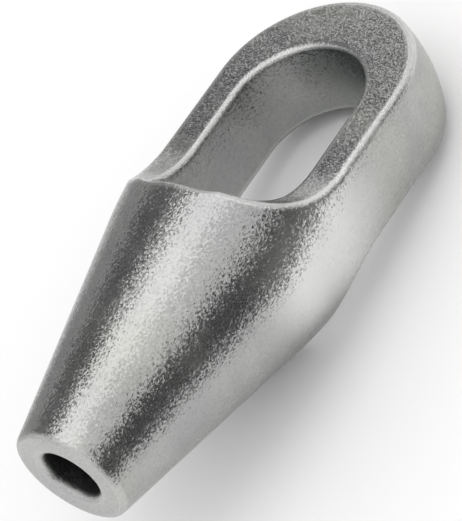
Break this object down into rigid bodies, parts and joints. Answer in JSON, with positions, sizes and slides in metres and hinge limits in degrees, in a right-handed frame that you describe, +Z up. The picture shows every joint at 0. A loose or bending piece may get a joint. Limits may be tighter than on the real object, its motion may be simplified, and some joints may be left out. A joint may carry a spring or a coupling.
{
  "type": "closed wire rope socket",
  "caption": "Closed wire rope socket: a forged tapered basket with a rope hole at the small end, and a solid loop eye with a rounded crown for a connecting pin.",
  "frame": {"origin": "centre of the footprint box, on the bench", "axes": "the socket lies on one bail face side, on the basket rim and the crown, as it comes to rest; +X runs from the small end to the bail, +Y across the bail, +Z up"},
  "size_m": [0.1384, 0.0548, 0.0534],
  "materials": {
    "galvanised_steel": "forged, shot-blasted and hot-dip galvanised: matt grey with bright worn edges"
  },
  "bodies": {
    "root": {"socket_body": "galvanised_steel"}
  },
  "joints": []
}
